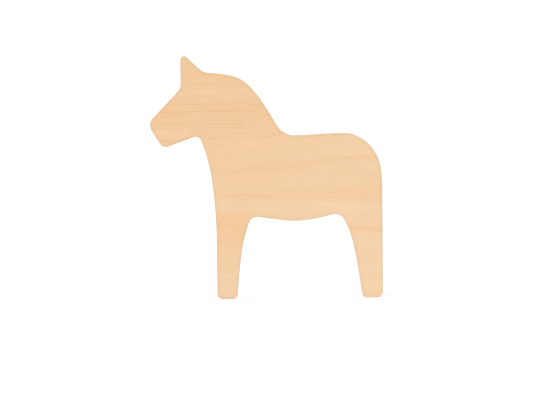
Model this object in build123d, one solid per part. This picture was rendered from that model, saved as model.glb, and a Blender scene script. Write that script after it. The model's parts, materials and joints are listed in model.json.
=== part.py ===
from build123d import *
import os
from math import cos, radians, sin
from typing import NamedTuple

# A dala horse craft blank: one flat silhouette, cut right through a sheet of thin birch plywood.
# The sheet is five birch veneers, which are bonded by four thin resin films. The two face veneers
# and the core have their grain along the horse. The two crossbands have theirs from foot to back.
#
# Frame, in millimetres: +Z up, the horse stands on its two feet at Z = 0 and looks along -X. The
# sheet's thickness runs along Y, with the clear front face towards -Y. The origin is on the ground,
# below the middle of the silhouette.

# Driving dimensions
GROUND = 0.0
RUMP_X = 72.5  # back of the thigh; the nose reaches as far on the other side
BACK_HEIGHT = 103.2  # highest point of the back, over the croup
BELLY_HEIGHT = 48.5  # lowest point of the belly
FRONT_LEG_X = -31.5  # front of the front leg, where it is straight
EAR_FRONT_X = -53.1  # front of the ear, which is upright

FACE_VENEER = 1.0  # thickness of each sanded face veneer
INNER_VENEER = 1.2  # thickness of each crossband and of the core
GLUE_FILM = 0.1  # thickness of each cured resin film
SHEET = 2 * FACE_VENEER + 3 * INNER_VENEER + 4 * GLUE_FILM
FRONT_FACE_Y = -SHEET / 2
EASED_EDGE = 0.25  # radius that light sanding leaves round both faces

# The sheet's layers, from the front face to the back face
LAYERS = [
    ("face_veneer", FACE_VENEER),
    ("glue_film_1", GLUE_FILM),
    ("front_crossband", INNER_VENEER),
    ("glue_film_2", GLUE_FILM),
    ("core_veneer", INNER_VENEER),
    ("glue_film_3", GLUE_FILM),
    ("back_crossband", INNER_VENEER),
    ("glue_film_4", GLUE_FILM),
    ("back_veneer", FACE_VENEER),
]


class Corner(NamedTuple):
    """Where two strokes of the outline would meet, and the radius that rounds them off there."""

    x: float
    z: float
    radius: float


EAR_TIP = Corner(EAR_FRONT_X, 155.2, 2.2)
FOREHEAD = Corner(EAR_FRONT_X, 132.2, 7.5)
NOSE = Corner(-73.8, 110.5, 6.1)
CHIN = Corner(-64.3, 94.8, 4.0)
THROAT = Corner(-42.1, 102.9, 4.2)
FRONT_TOE = Corner(FRONT_LEG_X, GROUND, 3.4)
FRONT_HEEL = Corner(-18.9, GROUND, 3.0)
ELBOW = Corner(-9.7, 51.8, 5.5)
GROIN = Corner(46.1, 53.4, 6.5)
REAR_TOE = Corner(59.6, GROUND, 3.0)
REAR_HEEL = Corner(72.2, GROUND, 3.5)
WITHERS = Corner(10.7, 101.9, 13.0)
EAR_BASE = Corner(-39.0, 142.1, 8.0)
CORNERS = [EAR_TIP, FOREHEAD, NOSE, CHIN, THROAT, FRONT_TOE, FRONT_HEEL]
CORNERS += [ELBOW, GROIN, REAR_TOE, REAR_HEEL, WITHERS, EAR_BASE]

# Where a straight stretch runs on into a curve
KNEE = (FRONT_LEG_X, 34.0)
THIGH = (RUMP_X, 70.0)
CROUP = (46.0, BACK_HEIGHT)

MUZZLE_BULGE = 0.5  # how far the muzzle stands out from a straight line between nose and chin


def at(place):
    """A point of the front face, from its x and z."""
    return Vector(place[0], FRONT_FACE_Y, place[1])


def heading(degrees):
    """A direction in the sheet: 0 is towards the rump, 90 is up and 180 is towards the nose."""
    return Vector(cos(radians(degrees)), 0, sin(radians(degrees)))


def straight(start, end):
    return Line(at(start), at(end))


def curve(*places, leaves, arrives):
    """A smooth stroke through the places, with its headings at the first and the last of them."""
    return Spline(*[at(place) for place in places], tangents=(heading(leaves), heading(arrives)))


def muzzle():
    """A shallow arc from nose to chin."""
    middle = (at(NOSE) + at(CHIN)) / 2
    inward = (at(CHIN) - at(NOSE)).normalized().cross(Vector(0, 1, 0))
    return ThreePointArc(at(NOSE), middle - inward * MUZZLE_BULGE, at(CHIN))


def sharp_outline():
    """The outline before its corners are rounded, from the ear down the face and on to the crest."""
    throat_to_knee = [THROAT, (-36.3, 86.0), (-33.4, 69.0), (-31.8, 48.5), KNEE]
    front_leg_back = [FRONT_HEEL, (-17.3, 19.0), (-14.7, 36.0), ELBOW]
    belly = [ELBOW, (3.4, 49.9), (17.0, BELLY_HEIGHT), GROIN]
    rear_leg_front = [GROIN, (51.2, 43.4), (55.5, 27.2), REAR_TOE]
    rump = [THIGH, (69.2, 89.2), (63.0, 97.4), (56.2, 101.7), CROUP]
    back = [CROUP, (28.5, 102.4), WITHERS]
    crest = [WITHERS, (-1.4, 122.1), (-9.2, 132.3), (-17.4, 138.5), (-28.0, 141.0), EAR_BASE]
    return Wire(
        [
            straight(EAR_TIP, FOREHEAD),
            straight(FOREHEAD, NOSE),
            muzzle(),
            straight(CHIN, THROAT),
            curve(*throat_to_knee, leaves=-66, arrives=-90),
            straight(KNEE, FRONT_TOE),
            straight(FRONT_TOE, FRONT_HEEL),
            curve(*front_leg_back, leaves=86, arrives=68),
            curve(*belly, leaves=-10, arrives=14),
            curve(*rear_leg_front, leaves=-60, arrives=-82),
            straight(REAR_TOE, REAR_HEEL),
            straight(REAR_HEEL, THIGH),
            curve(*rump, leaves=90, arrives=180),
            curve(*back, leaves=180, arrives=180),
            curve(*crest, leaves=121, arrives=175),
            straight(EAR_BASE, EAR_TIP),
        ]
    )


def silhouette():
    """The front face, with every corner of the outline rounded."""
    sheet = extrude(make_face(sharp_outline()), SHEET, dir=(0, 1, 0))
    for corner in CORNERS:
        upright = sheet.edges().filter_by(Axis.Y).sort_by_distance(at(corner))[0]
        sheet = sheet.fillet(corner.radius, [upright])
    return sheet.faces().sort_by(Axis.Y)[0]


def layer(face, depth, thickness):
    """One veneer or film, whose front is at this depth below the front face."""
    return Pos(0, depth, 0) * extrude(face, thickness, dir=(0, 1, 0))


def eased(outer_face):
    """The veneer of this outer face, with a soft arris round it."""
    return fillet(outer_face.outer_wire().edges(), EASED_EDGE)


def plywood_layers():
    """Every layer of the blank by name, stacked from the front face to the back face."""
    face = silhouette()
    solids = {}
    depth = 0.0
    for name, thickness in LAYERS:
        solids[name] = layer(face, depth, thickness)
        depth += thickness
    solids["face_veneer"] = eased(solids["face_veneer"].faces().sort_by(Axis.Y)[0])
    solids["back_veneer"] = eased(solids["back_veneer"].faces().sort_by(Axis.Y)[-1])
    return solids


if __name__ == "__main__":
    os.makedirs("parts", exist_ok=True)
    for name, solid in plywood_layers().items():
        export_step(solid, f"parts/{name}.step")
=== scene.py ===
import json
import math

import bpy
import numpy as np
from mathutils import Matrix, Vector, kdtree
from mathutils.geometry import delaunay_2d_cdt


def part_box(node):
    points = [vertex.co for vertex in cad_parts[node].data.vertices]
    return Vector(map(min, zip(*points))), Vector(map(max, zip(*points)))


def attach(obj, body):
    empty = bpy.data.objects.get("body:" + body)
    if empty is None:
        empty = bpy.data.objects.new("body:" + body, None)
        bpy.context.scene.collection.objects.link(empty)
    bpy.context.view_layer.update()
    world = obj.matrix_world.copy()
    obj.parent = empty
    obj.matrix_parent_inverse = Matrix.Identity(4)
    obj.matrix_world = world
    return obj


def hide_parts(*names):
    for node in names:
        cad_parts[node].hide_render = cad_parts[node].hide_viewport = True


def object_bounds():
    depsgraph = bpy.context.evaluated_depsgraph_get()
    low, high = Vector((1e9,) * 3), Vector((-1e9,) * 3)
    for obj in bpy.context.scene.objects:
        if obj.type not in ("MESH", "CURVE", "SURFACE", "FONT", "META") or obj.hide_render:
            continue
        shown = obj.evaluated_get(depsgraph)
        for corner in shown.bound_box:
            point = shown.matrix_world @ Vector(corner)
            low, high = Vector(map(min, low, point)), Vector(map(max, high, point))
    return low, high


# A dala horse craft blank of laser-cut birch plywood. Each layer of the sheet is rebuilt here on its
# CAD node's outline, with the grain, the sanded faces and the browned, ribbed cut edge of the real
# thing. The helpers below work in millimetres, in the frame's directions: x from nose to rump,
# y from the front face to the back face, z up. Meshes and the scene are in metres.
MM = 0.001

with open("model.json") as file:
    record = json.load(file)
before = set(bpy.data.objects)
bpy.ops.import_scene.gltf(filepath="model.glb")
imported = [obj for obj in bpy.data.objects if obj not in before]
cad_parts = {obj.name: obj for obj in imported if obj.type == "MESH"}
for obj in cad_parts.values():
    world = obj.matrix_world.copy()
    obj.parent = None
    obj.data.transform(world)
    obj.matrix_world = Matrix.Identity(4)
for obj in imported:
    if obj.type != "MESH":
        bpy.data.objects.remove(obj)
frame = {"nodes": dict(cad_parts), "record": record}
cad_low, cad_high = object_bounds()
FRONT_Y, BACK_Y = cad_low.y / MM, cad_high.y / MM


def smooth(start, end, value):
    """0 before start, 1 past end, and a soft step between them. Start may be the larger."""
    t = np.clip((value - start) / (end - start), 0, 1)
    return t * t * (3 - 2 * t)


def between(value, start, full, fading, end):
    """1 from full to fading, with soft steps down to 0 at start and at end."""
    return smooth(start, full, value) * smooth(end, fading, value)


# ---------------------------------------------------------------------------- outline

POINT_SPACING = 0.3  # between neighbouring points of the resampled outline
BEND_STEPS = 4
NORMAL_REACH = 2  # how many points away a normal looks, to each side of its own
ON_GROUND = 0.01  # points lower than this are on the soles
SAME_PLANE = 1e-6  # metres
KEYS_PER_METRE = 1e7  # corners that round to the same key are one


def border_edges(faces):
    """The edges that only one face has. Each face is a list of its corners, in order."""
    edges = set()
    for corners in faces:
        for a, b in zip(corners, corners[1:] + corners[:1]):
            if (b, a) in edges:
                edges.remove((b, a))
            else:
                edges.add((a, b))
    return edges


def boundary_of_front(node):
    """The corners of a CAD node's front face in order, as x and z. The inside is on their left."""
    mesh = frame["nodes"][node].data
    front_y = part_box(node)[0].y
    places = {}
    faces = []
    for polygon in mesh.polygons:
        corners = [mesh.vertices[i].co for i in polygon.vertices]
        if max(abs(co.y - front_y) for co in corners) > SAME_PLANE:
            continue
        keys = [(round(co.x * KEYS_PER_METRE), round(co.z * KEYS_PER_METRE)) for co in corners]
        places.update({key: (co.x / MM, co.z / MM) for key, co in zip(keys, corners)})
        faces.append(keys)
    follows = dict(border_edges(faces))
    loop = [min(follows)]
    while len(loop) < len(follows):
        loop.append(follows[loop[-1]])
    return np.array([places[key] for key in loop])


def softened(loop):
    """The loop with each of its small bends drawn as a curve between the middles of the sides beside it."""
    before = loop - np.roll(loop, 1, axis=0)
    after = np.roll(loop, -1, axis=0) - loop
    length_before = np.linalg.norm(before, axis=1, keepdims=True)
    length_after = np.linalg.norm(after, axis=1, keepdims=True)
    reach = np.minimum(length_before, length_after) / 2
    start = loop - before / length_before * reach
    end = loop + after / length_after * reach
    steps = np.arange(BEND_STEPS) / (BEND_STEPS - 1)
    bends = [(1 - t) ** 2 * start + 2 * t * (1 - t) * loop + t**2 * end for t in steps]
    return np.stack(bends, axis=1).reshape(-1, 2)


def resampled(loop, spacing):
    """Evenly spaced points round the loop, from the middle of the sole of the front foot."""
    closed = np.vstack([loop, loop[:1]])
    run = np.concatenate([[0], np.cumsum(np.linalg.norm(np.diff(closed, axis=0), axis=1))])
    length = run[-1]
    sole_x = closed[(closed[:, 1] < ON_GROUND) & (closed[:, 0] < 0), 0]
    toe = np.argmin(np.linalg.norm(closed - [sole_x.min(), 0], axis=1))
    start = run[toe] + (sole_x.max() - sole_x.min()) / 2
    count = int(round(length / spacing))
    along = (start + np.arange(count) * length / count) % length
    return np.stack([np.interp(along, run, closed[:, k]) for k in (0, 1)], axis=1)


def outward_normals(points):
    """Of a closed loop whose inside is on its left, at each of its points."""
    tangent = np.roll(points, -NORMAL_REACH, axis=0) - np.roll(points, NORMAL_REACH, axis=0)
    tangent /= np.linalg.norm(tangent, axis=1, keepdims=True)
    return np.stack([tangent[:, 1], -tangent[:, 0]], axis=1)


def search_tree(points):
    """For finding the nearest of the points to a place, given as x, z and 0."""
    tree = kdtree.KDTree(len(points))
    for number, (x, z) in enumerate(points):
        tree.insert((x, z, 0), number)
    tree.balance()
    return tree


OUTLINE = resampled(softened(boundary_of_front("core_veneer")), POINT_SPACING)
OUTLINE_TREE = search_tree(OUTLINE)
NORMALS = outward_normals(OUTLINE)
COUNT = len(OUTLINE)


def ring(inset):
    """The outline, moved inwards. The inset is one number, or one for each point."""
    return OUTLINE - NORMALS * np.reshape(inset, (-1, 1))


# ---------------------------------------------------------------------------- fills

INNER_TRIANGLES = 1  # asks delaunay_2d_cdt for the triangles inside the loop
SAME_POINT = 1e-9  # points nearer than this are one


def inside(points, loop):
    """Which of the points are inside the closed loop."""
    result = np.zeros(len(points), bool)
    x, z = points[:, 0], points[:, 1]
    for (x0, z0), (x1, z1) in zip(loop, np.roll(loop, -1, axis=0)):
        if z0 == z1:
            continue
        crosses = (z0 > z) != (z1 > z)
        result ^= crosses & (x < (x1 - x0) * (z - z0) / (z1 - z0) + x0)
    return result


def grid_inside(loop, step, margin):
    """Points of a regular grid inside the loop by more than the margin, and the squares they make."""
    low = np.floor(loop.min(axis=0) / step)
    high = np.ceil(loop.max(axis=0) / step)
    columns = np.arange(low[0], high[0] + 1)
    rows = np.arange(low[1], high[1] + 1)
    grid_x, grid_z = np.meshgrid(columns * step[0], rows * step[1])
    points = np.stack([grid_x.ravel(), grid_z.ravel()], axis=1)
    tree = search_tree(loop)
    valid = inside(points, loop)
    for i in np.flatnonzero(valid):
        valid[i] = tree.find((*points[i], 0))[2] > margin
    index = np.arange(len(points)).reshape(len(rows), len(columns))
    squares = np.stack([index[:-1, :-1], index[:-1, 1:], index[1:, 1:], index[1:, :-1]], axis=-1)
    squares = squares.reshape(-1, 4)
    squares = squares[valid[squares].all(axis=1)]
    used, squares = np.unique(squares, return_inverse=True)
    return points[used], squares.reshape(-1, 4)


def filled(loop, step, margin):
    """Faces that fill the loop: squares inside, and triangles between them and the loop.

    Returns the grid's points and the faces, which number the loop's points first."""
    points, squares = grid_inside(loop, step, margin)
    first_corners = points[squares[:, 0]]
    squares = squares + len(loop)
    rim = [(i, (i + 1) % len(loop)) for i in range(len(loop))]
    holes = sorted(border_edges(squares.tolist()))
    needed = sorted({i for edge in holes for i in edge})
    local = {i: len(loop) + k for k, i in enumerate(needed)}
    places = [tuple(place) for place in loop] + [tuple(points[i - len(loop)]) for i in needed]
    edges = rim + [(local[a], local[b]) for a, b in holes]
    made = delaunay_2d_cdt(places, edges, [], INNER_TRIANGLES, SAME_POINT)
    corners, _, triangles, origins = made[:4]
    if len(corners) != len(places):
        raise RuntimeError("the fill made points of its own")

    # The triangles cover the squares as well, so those whose centre is in a square are left out
    triangles = np.array([[origins[i][0] for i in triangle] for triangle in triangles])
    places = np.array(places)
    cells = {tuple(cell) for cell in np.floor(first_corners / step + 0.5).astype(int)}
    centres = np.floor(places[triangles].mean(axis=1) / step).astype(int)
    outside = np.array([tuple(cell) not in cells for cell in centres])
    numbers = {k: i for i, k in local.items()}
    faces = squares.tolist()
    for a, b, c in triangles[outside].tolist():
        (x0, z0), (x1, z1), (x2, z2) = places[a], places[b], places[c]
        turn = (x1 - x0) * (z2 - z0) - (z1 - z0) * (x2 - x0)
        in_order = (a, b, c) if turn > 0 else (a, c, b)
        faces.append([numbers.get(i, i) for i in in_order])
    return points, faces


# ---------------------------------------------------------------------------- figure of the wood

# The growth lines of a face veneer are streaks of darker late wood, and each runs nearly level.
# Tone is 0 in pale early wood and 1 in dark late wood. A streak is its places from left to right,
# its half thickness, and how much it adds to the tone.

HEAD_STREAKS = [
    ([(-53, 147.3), (-43, 146.9)], 0.8, 0.20),
    ([(-53, 143.6), (-42, 143.4)], 0.5, 0.15),
    ([(-53, 141.2), (-42, 141.0), (-34, 141.1)], 0.45, 0.19),
    ([(-50, 138.6), (-40, 138.4)], 0.5, 0.08),
    ([(-40, 138.4), (-28, 138.2), (-17, 138.5)], 0.5, 0.16),
    ([(-51, 134.9), (-35, 134.6), (-12, 134.3)], 0.5, 0.26),
    ([(-34, 132.6), (-18, 132.9)], 0.4, 0.12),
    ([(-18, 133.3), (-9, 134.3)], 0.7, 0.22),
    ([(-58, 127.4), (-38, 126.6), (-12, 126.9), (-3, 126.0)], 0.6, 0.23),
    ([(-60, 124.8), (-40, 124.2), (-22, 124.6)], 0.35, 0.10),
    ([(-65, 121.6), (-50, 122.1), (-30, 122.6), (-12, 122.2), (3, 121.2)], 0.65, 0.34),
    ([(-62, 119.9), (-16, 120.2)], 0.35, 0.14),
    ([(-73, 117.2), (-55, 117.6), (-40, 118.0), (-22, 118.2), (-3, 117.5)], 1.0, 0.38),
    ([(-69, 114.6), (-45, 114.9), (-20, 114.2), (5, 114.6)], 0.6, 0.24),
    ([(-52, 112.3), (-15, 112.0), (6, 111.0)], 0.4, 0.15),
    ([(-75, 109.2), (-60, 109.4), (-30, 109.9), (-10, 109.2), (9, 109.0)], 0.5, 0.30),
    ([(-32, 107.6), (-10, 106.9)], 0.35, 0.13),
    ([(-70, 99.9), (-54, 99.6)], 0.9, 0.26),
    ([(-32, 103.3), (3, 104.0)], 0.4, 0.12),
    ([(-41, 100.9), (-25, 101.2), (-8, 100.9), (4, 101.4), (14, 103.2)], 0.7, 0.34),
    ([(-57, 130.4), (-30, 130.1), (-3, 129.3)], 1.6, -0.12),
    ([(-23, 107.5), (-17.5, 107.3)], 0.5, 0.30),
    ([(-21, 110.1), (-15.5, 110.0)], 0.45, 0.30),
    ([(-50, 136.8), (-18, 136.6)], 0.7, -0.10),
    ([(-76, 105.0), (-58, 104.6), (-44, 104.9)], 2.4, -0.22),
    ([(-40, 105.0), (-18, 105.3), (8, 105.6)], 1.0, -0.13),
]
# The longest growth line climbs across the whole body to the rump
RISING_LINE = [(-36, 79.3), (-18, 79.5), (-8, 81.4), (2, 81.2), (12, 81.0)]
RISING_LINE += [(20, 83.6), (32, 85.8), (44, 86.6), (56, 88.6), (75, 88.8)]
BODY_STREAKS = [
    ([(-38, 95.8), (-18, 95.2), (7, 97.0)], 0.4, 0.08),
    ([(-38, 91.2), (-18, 91.4), (0, 93.2), (14, 94.6), (33, 97.4)], 0.55, 0.20),
    ([(-31, 88.3), (-12, 88.0)], 0.4, 0.08),
    (RISING_LINE, 1.1, 0.27),
    ([(46, 86.9), (75, 86.4)], 0.5, 0.16),
    ([(-11, 82.9), (7, 82.4)], 0.5, 0.12),
    ([(-17, 75.4), (5, 74.8)], 0.6, 0.14),
    ([(-36, 64.8), (-18, 65.2), (-8, 64.2), (2, 63.5), (12, 62.9)], 0.7, 0.32),
    ([(6, 66.8), (28, 66.6), (49, 65.2)], 0.9, 0.15),
    ([(9, 63.9), (30, 63.6), (51, 62.4)], 0.8, 0.14),
    ([(43, 68.8), (58, 68.6), (76, 68.0)], 1.2, 0.10),
]
LEG_STREAKS = [
    ([(-36, 51.5), (-8, 51.0)], 1.6, 0.08),
    ([(-36, 45.5), (-10, 46.2)], 1.4, 0.12),
    ([(-36, 34.8), (-13, 35.2)], 1.0, 0.10),
    ([(-36, 28.6), (-13, 28.2)], 0.5, 0.08),
    ([(-36, 20.6), (-13, 20.2)], 0.5, 0.10),
    ([(-36, 12.2), (-14, 12.4)], 0.6, 0.28),
    ([(-36, 3.0), (-14, 3.3)], 0.6, 0.14),
    ([(46, 44.8), (60, 43.4), (77, 42.0)], 2.0, 0.40),
    ([(53, 23.8), (63, 24.0)], 0.7, 0.20),
    ([(60, 22.2), (77, 22.0)], 0.35, 0.10),
    ([(54, 14.2), (64, 13.0), (77, 12.6)], 0.5, 0.24),
    ([(54, 3.4), (77, 3.6)], 0.6, 0.14),
]
# Broad, faint clouds between the streaks, where the wood is a little darker or paler
CLOUDS = [
    ([(-76, 112.6), (-58, 112.8)], 2.6, -0.09),
    ([(-68, 97.4), (-48, 98.6)], 2.0, 0.13),
    ([(-14, 112.8), (8, 111.6)], 2.8, -0.10),
    ([(-42, 98.2), (-30, 98.0)], 1.8, 0.10),
    ([(-38, 56.6), (-24, 56.0)], 3.0, -0.11),
    ([(-66, 121.0), (-48, 122.0)], 2.2, -0.09),
    ([(-16, 127.2), (0, 126.4)], 2.5, -0.10),
    ([(-30, 104.3), (-2, 104.5)], 2.0, -0.08),
    ([(38, 98.8), (60, 98.0)], 2.2, 0.11),
    ([(52, 93.0), (70, 92.0)], 2.6, -0.09),
    ([(-40, 96.0), (-22, 96.2)], 3.0, 0.06),
    ([(-16, 80.6), (28, 82.2)], 3.0, 0.08),
    ([(27, 80.2), (47, 80.6)], 2.4, -0.08),
    ([(53, 80.6), (73, 80.4)], 2.0, -0.09),
    ([(8, 75.6), (36, 75.2)], 2.6, -0.09),
    ([(33, 76.2), (50, 75.8)], 2.0, 0.07),
    ([(53, 76.0), (77, 75.6)], 2.8, 0.09),
    ([(-36, 70.4), (-10, 70.6)], 2.4, -0.08),
    ([(-3, 70.0), (26, 69.6)], 2.2, -0.06),
    ([(40, 69.8), (60, 69.4)], 2.0, -0.07),
    ([(-31, 66.0), (-10, 66.0)], 1.8, -0.06),
    ([(40, 64.8), (66, 64.4)], 2.2, -0.09),
    ([(28, 59.0), (56, 58.6)], 2.6, -0.08),
    ([(-12, 53.2), (34, 51.6)], 2.0, 0.09),
    ([(52, 25.0), (64, 25.4)], 2.0, 0.08),
    ([(52, 17.4), (76, 17.0)], 3.0, -0.07),
]
STREAK_TAPER = 7.0  # over which a streak fades in at its start and out at its end
WAVERING = 0.22  # how far a streak leaves its line
SWELLING = 0.25  # part of its thickness by which it swells and thins
FADING = 0.35  # part of its tone by which it fades and darkens

# How steeply the growth lines of the front face climb towards the rump, by height at the chest
CLIMB_HEIGHTS = [0, 55, 64, 75, 85, 93, 101, 108, 160]
CLIMB_SLOPES = [0, -0.02, -0.03, 0.03, 0.085, 0.09, 0.045, 0, 0]
CHEST_X = -33.0
LEVEL_ROUNDS = 12  # of working out the height at the chest again, which settle it

# What the front leg's own wood adds to the tone, by height
LEG_HEIGHTS = [0, 15, 18.5, 22, 26, 31, 40, 50]
LEG_TONES = [-0.12, -0.09, 0.17, 0.12, 0.04, 0.17, 0.30, 0.32]


def streak_tone(streaks, x, z):
    """What the streaks add to the tone. Each one wavers, swells and fades a little on its way."""
    total = np.zeros_like(x)
    for number, (places, half_thickness, depth) in enumerate(streaks):
        line_x, line_z = np.array(places, float).T
        first_x, last_x = line_x[0], line_x[-1]
        wavering = WAVERING * np.sin(x / 4.3 + 3 * number)
        swelling = 1 + SWELLING * np.sin(x / 6.1 + 2 * number)
        fading = 1 + FADING * np.sin(x / 2.3 + 5 * number) * np.sin(x / 3.7 + number)
        away = (z - np.interp(x, line_x, line_z) - wavering) / (half_thickness * swelling)
        taper = min(STREAK_TAPER, (last_x - first_x) / 2)
        ends = between(x, first_x, first_x + taper, last_x - taper, last_x)
        total += depth * fading * np.exp(-(away**2)) * ends
    return total


def front_figure(x, z):
    """At each place of the front face: tone, warmth, how lively the grain is, and the grain's level."""
    head = smooth(100.5, 104.5, z)
    rump = smooth(36, 52, x)
    belly_top = 62.6 - 0.026 * (x - CHEST_X) + 0.25 * np.sin(x / 4)
    belly = smooth(belly_top + 0.5, belly_top - 0.9, z)
    leg_top = 54.0 + 1.1 * np.sin(x / 2.9) + 0.7 * np.sin(x / 1.3 + 1)
    front_leg = smooth(-6, -14, x) * smooth(leg_top + 4, leg_top - 4, z)
    elbow = belly * smooth(-4, -14, x) * smooth(52, 58, z)
    chest = smooth(-14, -32, x) * smooth(82, 93, z) * (1 - head)
    brow = head * between(z, 123.5, 126, 131, 134)
    nape = smooth(-28, -8, x) * between(z, 106.5, 108, 110.5, 112.5)
    croup = rump * smooth(88.5, 91, z)
    flank = rump * smooth(69.5, 67.5, z) * (1 - belly)
    thigh = rump * between(z, 38, 40, 51, 56)
    hoof = rump * smooth(12, 9, z)

    tone = 0.43 + 0.20 * head - 0.07 * smooth(-10, 60, x) * (1 - head)
    tone += front_leg * np.interp(z, LEG_HEIGHTS, LEG_TONES) + 0.10 * elbow + 0.07 * chest
    tone += 0.16 * flank + 0.07 * thigh
    tone -= 0.20 * belly + 0.08 * croup + 0.07 * brow + 0.09 * nape + 0.11 * hoof
    tone += streak_tone(HEAD_STREAKS + BODY_STREAKS + LEG_STREAKS + CLOUDS, x, z)
    warmth = 0.35 + front_leg * smooth(20, 31, z) + 0.9 * flank + 0.25 * belly * rump
    liveliness = 0.65 + 0.4 * head
    level = z
    for _ in range(LEVEL_ROUNDS):
        level = z - np.interp(level, CLIMB_HEIGHTS, CLIMB_SLOPES) * (x - CHEST_X)
    return tone, warmth, liveliness, level


# The back face is from the outside of another log: its growth lines rise to long pointed arches,
# and they part round two pin knots.
ARCH_X = 14.0
ARCH_RISE = 13.0
ARCH_HALF_WIDTH = 46.0
PIN_KNOTS = [(-17.0, 92.0, 1.3), (49.0, 77.0, 0.9)]  # x, z, and half their height
BACK_WARMTH = 0.7
KNOT_PARTING = 1.3  # how far the lines part round a knot, in half heights of the knot


def back_figure(x, z):
    """The same four values as front_figure, of the back face."""
    arch = ARCH_RISE * np.exp(-(((x - ARCH_X) / ARCH_HALF_WIDTH) ** 2)) + 1.2 * np.sin(x / 17.0)
    level = z - arch
    tone = 0.52 + 0.10 * np.sin(level / 11.0) + 0.06 * np.sin(level / 4.3 + x / 60.0)
    for knot_x, knot_z, size in PIN_KNOTS:
        dx, dz = (x - knot_x) / size, (z - knot_z) / size
        near = np.exp(-((dx / 6) ** 2 + (dz / 5) ** 2))
        level = level - KNOT_PARTING * size * np.tanh(dz / 1.3) * near
        tone = tone + 0.22 * np.exp(-((dx / 8) ** 2 + (dz / 2) ** 2))
    return tone, np.full_like(x, BACK_WARMTH), np.ones_like(x), level


# ---------------------------------------------------------------------------- layers

ARRIS = 0.25  # radius of the sanded edge round both faces
ARRIS_STEPS = 4
ARRIS_BURNT = 0.35  # the part of the way round the arris where the browning starts
FACE_RINGS = [1.5, 1.0, 0.65, 0.42]  # insets of the rings of points just inside a sanded face
FACE_RELIEF = 0.010
RIB_SPACING = 0.9  # between the ribs that the laser's pulses leave across the cut edge
RIB_DEPTH = 0.022
TAPER = 0.05  # how much further in the cut is at the back face than at the front face
SHARP_ANGLE = math.radians(55)

# The steps of a fill's grid along x and z, and how far it stays from the ring round it
SANDED_FILL = ((1.5, 0.5), 0.45)
GLUED_FILL = ((5.0, 5.0), 2.0)

# The rings of points of a cut edge: each is a part of the way through the layer, and how far it is
# burnt back there, which is most in the resin and in the wood beside it
LINE_RECESS = 0.035
FACE_WALL = [(0.45, 0.0), (0.8, 0.0), (0.93, 0.4 * LINE_RECESS), (1.0, LINE_RECESS)]
VENEER_WALL = [(0.0, LINE_RECESS), (0.08, 0.4 * LINE_RECESS), (0.25, 0.0), (0.5, 0.0), (0.75, 0.0)]
VENEER_WALL += [(0.92, 0.4 * LINE_RECESS), (1.0, LINE_RECESS)]
RESIN_WALL = [(0.0, LINE_RECESS), (0.5, 1.5 * LINE_RECESS), (1.0, LINE_RECESS)]

ALONG, UPRIGHT = (1, 0), (0, 1)  # directions of the grain, as x and z


def ribs(seed):
    """Depths round the outline of the laser's ribs, from 0 to 1."""
    count = int(COUNT * POINT_SPACING / RIB_SPACING)
    heights = np.random.default_rng(seed).uniform(0, 1, count)
    place = np.arange(COUNT) * count / COUNT
    first = np.floor(place).astype(int)
    part = smooth(0, 1, place - first)
    return heights[first % count] * (1 - part) + heights[(first + 1) % count] * part


BEAM_RIBS = ribs(11)  # those that run through the whole sheet


def wall_inset(y, own_ribs, recess):
    """How far in from the outline the cut edge is, at each point of a ring."""
    shared = 0.65 * BEAM_RIBS + 0.35 * own_ribs
    depth = (y - FRONT_Y) / (BACK_Y - FRONT_Y)
    return RIB_DEPTH * shared * (0.5 + 0.8 * depth) + TAPER * depth + recess


def relief(face_y, inwards, figure):
    """Where a sanded face is: the hard late wood stands a hair prouder than the soft."""

    def surface_y(places):
        tone = figure(places[:, 0], places[:, 1])[0]
        return face_y + inwards * FACE_RELIEF * (1 - np.clip(tone, 0, 1))

    return surface_y


def flat(y):
    """Where a glued face is."""
    return lambda places: y


class LayerMesh:
    """Collects the rings of points round a layer, from its front to its back, and the fills that close it."""

    def __init__(self, grain):
        self.grain = grain  # the direction of the wood's grain, or None in resin
        self.points = []
        self.faces = []
        self.cut = []
        self.total = 0
        self.last_row = None

    def add(self, places, y, cut):
        """Adds points, and returns the number of the first one. Cut is 1 on the cut edge and 0 on a face."""
        count = len(places)
        self.points.append(np.column_stack([places[:, 0], np.broadcast_to(y, count), places[:, 1]]))
        self.cut.append(np.full(count, cut))
        self.total += count
        return self.total - count

    def row(self, y, inset, cut=1.0):
        """Adds a ring of points, joined to the ring before it."""
        start = self.add(ring(inset), y, cut)
        if self.last_row is not None:
            near, far = self.last_row, start
            for i in range(COUNT):
                j = (i + 1) % COUNT
                self.faces.append([near + i, far + i, far + j, near + j])
        self.last_row = start
        return start

    def fill(self, row_start, grid, surface_y, towards_back):
        """Closes a ring. The grid is one of the fills above, and surface_y says where its points are."""
        loop = np.vstack(self.points)[row_start : row_start + COUNT][:, [0, 2]]
        places, faces = filled(loop, *grid)
        start = self.add(places, surface_y(places), 0.0)
        for face in faces:
            numbers = [row_start + i if i < COUNT else start + i - COUNT for i in face]
            self.faces.append(numbers[::-1] if towards_back else numbers)

    def build(self, name, figure=None):
        """The finished piece, with what its material needs to know stored on its points."""
        co = np.vstack(self.points)
        mesh = bpy.data.meshes.new(name)
        mesh.from_pydata((co * MM).tolist(), [], self.faces)
        mesh.shade_smooth()
        mesh.set_sharp_from_angle(angle=SHARP_ANGLE)
        found = [OUTLINE_TREE.find((x, z, 0)) for x, _, z in co]
        values = {"edge_mm": [distance for _, _, distance in found], "cut": np.concatenate(self.cut)}
        if self.grain is not None:
            values["end_grain"] = np.abs(NORMALS[[number for _, number, _ in found]] @ self.grain)
        if figure is not None:
            names = ("tone", "warmth", "liveliness", "level")
            values.update(zip(names, figure(co[:, 0], co[:, 2])))
        for key, array in values.items():
            attribute = mesh.attributes.new(key, "FLOAT", "POINT")
            attribute.data.foreach_set("value", np.asarray(array, np.float32))
        piece = bpy.data.objects.new(name, mesh)
        bpy.context.scene.collection.objects.link(piece)
        return piece


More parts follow.
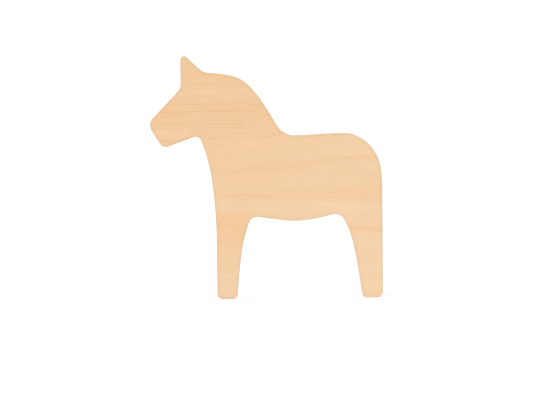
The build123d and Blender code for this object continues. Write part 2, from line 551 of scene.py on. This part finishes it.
def face_layer(node, seed, figure, towards_back):
    """A sanded face veneer: rings and a fine grid on its face, the soft arris, then the cut edge."""
    low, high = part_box(node)
    face_y, joint_y = (high.y / MM, low.y / MM) if towards_back else (low.y / MM, high.y / MM)
    inwards = -1 if towards_back else 1
    own_ribs = ribs(seed)
    rows = [(face_y, inset, 0.0) for inset in FACE_RINGS]
    for step in range(ARRIS_STEPS + 1):
        part = step / ARRIS_STEPS
        angle = math.pi / 2 * part
        y = face_y + inwards * ARRIS * (1 - math.cos(angle))
        inset = ARRIS * (1 - math.sin(angle))
        burnt = smooth(ARRIS_BURNT, 1.0, part)
        rows.append((y, inset + burnt * wall_inset(y, own_ribs, 0), burnt))
    for part, recess in FACE_WALL:
        y = face_y + (joint_y - face_y) * part
        rows.append((y, wall_inset(y, own_ribs, recess), 1.0))

    sanded = (SANDED_FILL, relief(face_y, inwards, figure))
    glued = (GLUED_FILL, flat(joint_y))
    near, far = (glued, sanded) if towards_back else (sanded, glued)
    if towards_back:
        rows.reverse()
    layer = LayerMesh(ALONG)
    starts = [layer.row(*row) for row in rows]
    layer.fill(starts[0], *near, towards_back=False)
    layer.fill(starts[-1], *far, towards_back=True)
    return layer.build(node + "_wood", figure)


def inner_layer(node, seed, grain, wall, suffix):
    """A veneer or a film of resin inside the sheet, of which only the cut edge shows."""
    low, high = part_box(node)
    front_y, back_y = low.y / MM, high.y / MM
    own_ribs = ribs(seed)
    layer = LayerMesh(grain)
    for part, recess in wall:
        y = front_y + (back_y - front_y) * part
        layer.row(y, wall_inset(y, own_ribs, recess))
    layer.fill(0, GLUED_FILL, flat(front_y), towards_back=False)
    layer.fill(layer.last_row, GLUED_FILL, flat(back_y), towards_back=True)
    return layer.build(node + suffix)


pieces = {
    "face_veneer": face_layer("face_veneer", 21, front_figure, False),
    "back_veneer": face_layer("back_veneer", 22, back_figure, True),
    "front_crossband": inner_layer("front_crossband", 23, UPRIGHT, VENEER_WALL, "_wood"),
    "core_veneer": inner_layer("core_veneer", 24, ALONG, VENEER_WALL, "_wood"),
    "back_crossband": inner_layer("back_crossband", 25, UPRIGHT, VENEER_WALL, "_wood"),
}
for number in range(1, 5):
    node = f"glue_film_{number}"
    pieces[node] = inner_layer(node, 30 + number, None, RESIN_WALL, "_resin")


# ---------------------------------------------------------------------------- shader helpers


def srgb(red, green, blue):
    """A linear colour with alpha from screen values of 0 to 255."""
    parts = [c / 255 for c in (red, green, blue)]
    return [c / 12.92 if c <= 0.04045 else ((c + 0.055) / 1.055) ** 2.4 for c in parts] + [1.0]


class Shader:
    """A material's node tree, with a short call for each kind of node that the wood needs."""

    def __init__(self, name):
        self.material = bpy.data.materials.new(name)
        self.material.use_nodes = True
        self.tree = self.material.node_tree
        self.surface = self.tree.nodes["Principled BSDF"]
        coordinates = self.tree.nodes.new("ShaderNodeTexCoord")
        self.place = self.scaled(coordinates.outputs["Object"], (1 / MM, 1 / MM, 1 / MM))
        self.x, self.y, self.z = self.split(self.place)

    def put(self, socket, value):
        """Gives a socket its number or colour, or links another node's output to it."""
        if isinstance(value, bpy.types.NodeSocket):
            self.tree.links.new(value, socket)
        else:
            socket.default_value = value

    def math(self, operation, *values, clamp=False):
        node = self.tree.nodes.new("ShaderNodeMath")
        node.operation = operation
        node.use_clamp = clamp
        for socket, value in zip(node.inputs, values):
            self.put(socket, value)
        return node.outputs["Value"]

    def add(self, first, *others):
        for other in others:
            first = self.math("ADD", first, other)
        return first

    def times(self, a, b):
        return self.math("MULTIPLY", a, b)

    def total(self, *parts):
        """The sum of some values, each given with its weight."""
        return self.add(*[self.times(value, weight) for value, weight in parts])

    def clamped(self, value):
        return self.math("MULTIPLY", value, 1.0, clamp=True)

    def scaled(self, vector, factors):
        node = self.tree.nodes.new("ShaderNodeVectorMath")
        node.operation = "MULTIPLY"
        self.put(node.inputs[0], vector)
        self.put(node.inputs[1], factors)
        return node.outputs["Vector"]

    def split(self, vector):
        node = self.tree.nodes.new("ShaderNodeSeparateXYZ")
        self.put(node.inputs["Vector"], vector)
        return node.outputs["X"], node.outputs["Y"], node.outputs["Z"]

    def vector(self, x, y, z):
        node = self.tree.nodes.new("ShaderNodeCombineXYZ")
        for socket, value in zip(node.inputs, (x, y, z)):
            self.put(socket, value)
        return node.outputs["Vector"]

    def value(self, attribute):
        """What the mesh stores on its points under this name."""
        node = self.tree.nodes.new("ShaderNodeAttribute")
        node.attribute_name = attribute
        return node.outputs["Fac"]

    def noise(self, vector, detail):
        """Fractal noise about 0, mostly between -0.5 and 0.5."""
        node = self.tree.nodes.new("ShaderNodeTexNoise")
        self.put(node.inputs["Vector"], vector)
        self.put(node.inputs["Scale"], 1.0)
        self.put(node.inputs["Detail"], detail)
        return self.math("SUBTRACT", node.outputs["Fac"], 0.5)

    def spots(self, width, depth, height, detail):
        """Noise whose features are about this large along x, y and z."""
        return self.noise(self.scaled(self.place, (1 / width, 1 / depth, 1 / height)), detail)

    def lot(self, number):
        """A random number from 0 to 1 for each whole number."""
        node = self.tree.nodes.new("ShaderNodeTexWhiteNoise")
        node.noise_dimensions = "1D"
        self.put(node.inputs["W"], number)
        return node.outputs["Value"]

    def step(self, value, start, end, low=0.0, high=1.0):
        """Low before start, high past end, and a soft step between them."""
        node = self.tree.nodes.new("ShaderNodeMapRange")
        node.interpolation_type = "SMOOTHSTEP"
        names = ("Value", "From Min", "From Max", "To Min", "To Max")
        for name, number in zip(names, (value, start, end, low, high)):
            self.put(node.inputs[name], number)
        return node.outputs["Result"]

    def mix(self, factor, a, b, blend="MIX"):
        """A colour between a and b."""
        node = self.tree.nodes.new("ShaderNodeMix")
        node.data_type = "RGBA"
        node.blend_type = blend
        colour_a, colour_b = node.inputs[6], node.inputs[7]
        self.put(node.inputs["Factor"], factor)
        self.put(colour_a, a)
        self.put(colour_b, b)
        return node.outputs[2]

    def number_mix(self, factor, a, b):
        """A number between a and b."""
        rest = self.math("SUBTRACT", 1.0, factor)
        return self.total((a, rest), (b, factor))

    def finish(self, colour, roughness, height, distance, gloss):
        """Sets the surface up, and returns the material."""
        bump = self.tree.nodes.new("ShaderNodeBump")
        self.put(bump.inputs["Height"], height)
        bump.inputs["Distance"].default_value = distance * MM
        bump.inputs["Strength"].default_value = 1.0
        self.put(self.surface.inputs["Base Color"], colour)
        self.put(self.surface.inputs["Roughness"], roughness)
        self.surface.inputs["Specular IOR Level"].default_value = gloss
        self.tree.links.new(bump.outputs["Normal"], self.surface.inputs["Normal"])
        return self.material


# ---------------------------------------------------------------------------- materials

TONE_MARGIN = 0.3  # how far the fine grain may take the tone past 0 or 1
YEAR = 2.35  # mean distance between growth lines
HALO = 2.6  # how far in from the outline the laser's heat has tanned the face

# The palest and the darkest wood of each face
FACE_COLOURS = srgb(244.5, 219.5, 186.5), srgb(236, 190, 134)
BACK_COLOURS = srgb(246, 218, 184), srgb(229, 180, 127)
# Cut edges, where the cut runs along the grain and where it crosses the grain
FACE_EDGE = srgb(190, 143, 96), srgb(112, 72, 43)
CORE_EDGE = srgb(184, 136, 90), srgb(108, 69, 41)
CROSSBAND_EDGE = srgb(178, 130, 84), srgb(100, 63, 38)
RESIN_COLOURS = srgb(78, 50, 32), srgb(38, 24, 17)
TANNED = srgb(196, 142, 92)
KNOT_BROWN = srgb(128, 80, 48)
WARMER = (1.03, 0.992, 0.945, 1)
PINKER = (1.022, 0.982, 0.985, 1)

WOOD_GLOSS = 0.35
RESIN_GLOSS = 0.5
FACE_BUMP = 0.012
EDGE_BUMP = 0.02


def knot_marks(wood, knots):
    """1 in the dark heart of each knot, and 0 outside it."""
    marks = 0.0
    for knot_x, knot_z, size in knots:
        dx = wood.times(wood.math("SUBTRACT", wood.x, knot_x), 0.7 / size)
        dz = wood.times(wood.math("SUBTRACT", wood.z, knot_z), 1 / size)
        distance = wood.math("SQRT", wood.total((dx, dx), (dz, dz)))
        uneven = wood.add(distance, wood.times(wood.spots(5 / 6, 5 / 6, 5 / 6, 2.0), 0.8))
        marks = wood.add(wood.step(uneven, 0.1, 1.3, 1.0, 0.0), marks)
    return marks


def sanded_birch(wood, palest, darkest, seed, knots):
    """Colour, roughness and height of a sanded birch face, from its attributes and fine noise."""
    along, across = wood.add(wood.x, seed), wood.value("level")

    def figure(length, thickness, detail, offset=0.0):
        """Noise whose features are about this long and thick, drawn out along the grain."""
        flow = wood.vector(wood.times(along, 1 / length), wood.times(across, 1 / thickness), seed + offset)
        return wood.noise(flow, detail)

    fibre = figure(24, 0.9, 2.5)
    thread = figure(8, 0.34, 2.0)
    band = figure(80, 6, 1.0)
    fleck = figure(3.6, 1.5, 2.0)
    hue = figure(26, 3.2, 1.5, offset=9.0)
    blush = figure(15, 1.8, 1.5, offset=23.0)
    pore = wood.step(figure(1.7, 0.13, 0.0), 0.17, 0.3)

    # Late wood darkens slowly through each year and ends sharply, some years more than others
    years = wood.total((across, 1 / YEAR), (figure(42, 9, 1.0), 1.7))
    year, season = wood.math("FLOOR", years), wood.math("FRACT", years)
    late = wood.times(wood.step(season, 0.35, 0.9), wood.step(season, 0.9, 1.0, 1.0, 0.0))
    late = wood.times(late, wood.math("POWER", wood.lot(wood.add(year, seed)), 1.6))

    grain = wood.total((fibre, 0.75), (thread, 0.45), (late, 0.25), (pore, 0.12))
    tone = wood.times(wood.value("tone"), wood.add(wood.times(fibre, 0.35), 1.0))
    tone = wood.add(tone, wood.times(grain, wood.value("liveliness")))
    tone = wood.add(tone, wood.total((band, 0.16), (fleck, 0.50)), -0.045)
    tone_span = 1 + 2 * TONE_MARGIN
    darkness = wood.math("MULTIPLY_ADD", tone, 1 / tone_span, TONE_MARGIN / tone_span, clamp=True)
    colour = wood.mix(darkness, palest, darkest)
    colour = wood.mix(wood.add(wood.value("warmth"), wood.times(hue, 1.7)), colour, WARMER, "MULTIPLY")
    colour = wood.mix(wood.add(wood.times(blush, 1.6), 0.5), colour, PINKER, "MULTIPLY")
    colour = wood.mix(wood.step(wood.value("edge_mm"), 0.0, HALO, 0.13, 0.0), colour, TANNED)
    if knots:
        colour = wood.mix(wood.times(knot_marks(wood, knots), 0.9), colour, KNOT_BROWN)
    roughness = wood.add(wood.total((thread, 0.10), (pore, 0.08)), 0.56)
    height = wood.total((fibre, 0.5), (thread, 0.7), (pore, -0.9))
    return colour, roughness, height


def cut_edge(wood, long_grain, end_grain):
    """Colour, roughness and height of a laser-cut edge: browned, darker on end grain, and ribbed."""
    ribs_wide = wood.spots(0.55, 9, 0.55, 2.0)
    ribs_fine = wood.spots(0.16, 5, 0.16, 1.0)
    smoke = wood.spots(11, 2.5, 11, 2.0)
    cells = wood.spots(0.22, 0.22, 0.22, 1.0)
    ends = wood.value("end_grain")
    cell_depth = wood.add(wood.times(ends, 0.35), 0.1)
    burn = wood.total((ends, 0.72), (smoke, 0.75), (ribs_wide, 0.75), (ribs_fine, 0.5))
    burn = wood.add(burn, wood.total((cells, cell_depth), (wood.y, 0.035)), 0.12)
    colour = wood.mix(wood.clamped(burn), long_grain, end_grain)
    roughness = wood.add(wood.total((smoke, 0.15), (ribs_fine, 0.1)), 0.62)
    height = wood.total((ribs_wide, 1.0), (ribs_fine, 0.7), (cells, 0.4))
    return colour, roughness, height


def face_material(name, seed, palest, darkest, knots=()):
    """Birch that is sanded on its face and cut round its edge."""
    wood = Shader(name)
    face_colour, face_roughness, face_height = sanded_birch(wood, palest, darkest, seed, knots)
    edge_colour, edge_roughness, edge_height = cut_edge(wood, *FACE_EDGE)
    cut = wood.value("cut")
    colour = wood.mix(cut, face_colour, edge_colour)
    roughness = wood.number_mix(cut, face_roughness, edge_roughness)
    height = wood.number_mix(cut, face_height, edge_height)
    return wood.finish(colour, roughness, height, FACE_BUMP, WOOD_GLOSS)


def inner_material(name, long_grain, end_grain):
    """Birch of which only the cut edge shows."""
    wood = Shader(name)
    return wood.finish(*cut_edge(wood, long_grain, end_grain), EDGE_BUMP, WOOD_GLOSS)


def resin_material(name):
    """Cured resin, charred where the laser cut it."""
    resin = Shader(name)
    grit = resin.spots(0.3, 0.3, 0.3, 3.0)
    smoke = resin.spots(6, 6, 6, 1.0)
    char = resin.add(resin.total((grit, 0.8), (smoke, 0.8)), 0.5)
    colour = resin.mix(resin.clamped(char), *RESIN_COLOURS)
    roughness = resin.add(resin.times(grit, 0.3), 0.48)
    return resin.finish(colour, roughness, grit, EDGE_BUMP, RESIN_GLOSS)


materials = {
    "face_birch": face_material("face_birch", 3.0, *FACE_COLOURS),
    "back_birch": face_material("back_birch", 57.0, *BACK_COLOURS, PIN_KNOTS),
    "crossband_birch": inner_material("crossband_birch", *CROSSBAND_EDGE),
    "core_birch": inner_material("core_birch", *CORE_EDGE),
    "cured_resin": resin_material("cured_resin"),
}
SLOTS = {entry["node"]: entry["material_slot"] for entry in frame["record"]["subparts"]}

for node, piece in pieces.items():
    piece.data.materials.append(materials[SLOTS[node]])
    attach(piece, "root")
    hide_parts(node)


# ---------------------------------------------------------------------------- studio

# The camera is level and square to the front face, far enough away that the cut edge doesn't show,
# and turned by a hair about its own axis.
CAMERA_DISTANCE = 3000.0
CAMERA_X, CAMERA_Z = -0.14, 57.94
CAMERA_ROLL = math.radians(0.6335)
VIEW_WIDTH = 333.92  # of the whole picture, in the plane of the front face
SENSOR = 36.0
FAR_AWAY = 100.0  # metres, past which the camera sees nothing

camera_data = bpy.data.cameras.new("camera")
camera_data.sensor_width = SENSOR
camera_data.lens = SENSOR * CAMERA_DISTANCE / VIEW_WIDTH
camera_data.clip_end = FAR_AWAY
camera = bpy.data.objects.new("camera", camera_data)
right = (math.cos(CAMERA_ROLL), 0, -math.sin(CAMERA_ROLL))
up = (math.sin(CAMERA_ROLL), 0, math.cos(CAMERA_ROLL))
camera.matrix_world = Matrix((right, up, (0, -1, 0))).transposed().to_4x4()
camera.location = (CAMERA_X * MM, (FRONT_Y - CAMERA_DISTANCE) * MM, CAMERA_Z * MM)
bpy.context.scene.collection.objects.link(camera)
bpy.context.scene.camera = camera


def sun(name, azimuth, elevation, strength, softness):
    """A soft distant light. Azimuth 0 shines along +Y and 90 along -X."""
    data = bpy.data.lights.new(name, "SUN")
    data.energy = strength
    data.angle = math.radians(softness)
    lamp = bpy.data.objects.new(name, data)
    lamp.rotation_euler = (math.radians(90 - elevation), 0, math.radians(azimuth))
    bpy.context.scene.collection.objects.link(lamp)


sun("key", -35, 45, 1.15, 50)
sun("back_fill", 150, 50, 0.87, 60)

# The camera sees a background just past white, and the horse is lit by a dimmer one
SKY_LIGHT, SKY_SEEN = 0.53, 1.05
world = bpy.data.worlds.new("studio")
world.use_nodes = True
sky_tree = world.node_tree
sky = sky_tree.nodes["Background"]
sky.inputs["Color"].default_value = (1, 1, 1, 1)
rays = sky_tree.nodes.new("ShaderNodeLightPath")
strength = sky_tree.nodes.new("ShaderNodeMapRange")
strength.inputs["To Min"].default_value = SKY_LIGHT
strength.inputs["To Max"].default_value = SKY_SEEN
sky_tree.links.new(rays.outputs["Is Camera Ray"], strength.inputs["Value"])
sky_tree.links.new(strength.outputs["Result"], sky.inputs["Strength"])
bpy.context.scene.world = world

# The floor is white paper. About half of its light is its own, so that shadows on it stay faint.
FLOOR_SIZE = 60  # metres
bpy.ops.mesh.primitive_plane_add(size=FLOOR_SIZE, location=(0, 0, 0))
floor = bpy.context.object
floor.name = "floor"
paper = bpy.data.materials.new("paper")
paper.use_nodes = True
paper_surface = paper.node_tree.nodes["Principled BSDF"].inputs
paper_surface["Base Color"].default_value = (0.55, 0.55, 0.55, 1)
paper_surface["Roughness"].default_value = 0.9
paper_surface["Specular IOR Level"].default_value = 0.1
paper_surface["Emission Color"].default_value = (1, 1, 1, 1)
paper_surface["Emission Strength"].default_value = 0.49
floor.data.materials.append(paper)

bpy.context.scene.view_settings.view_transform = "Standard"
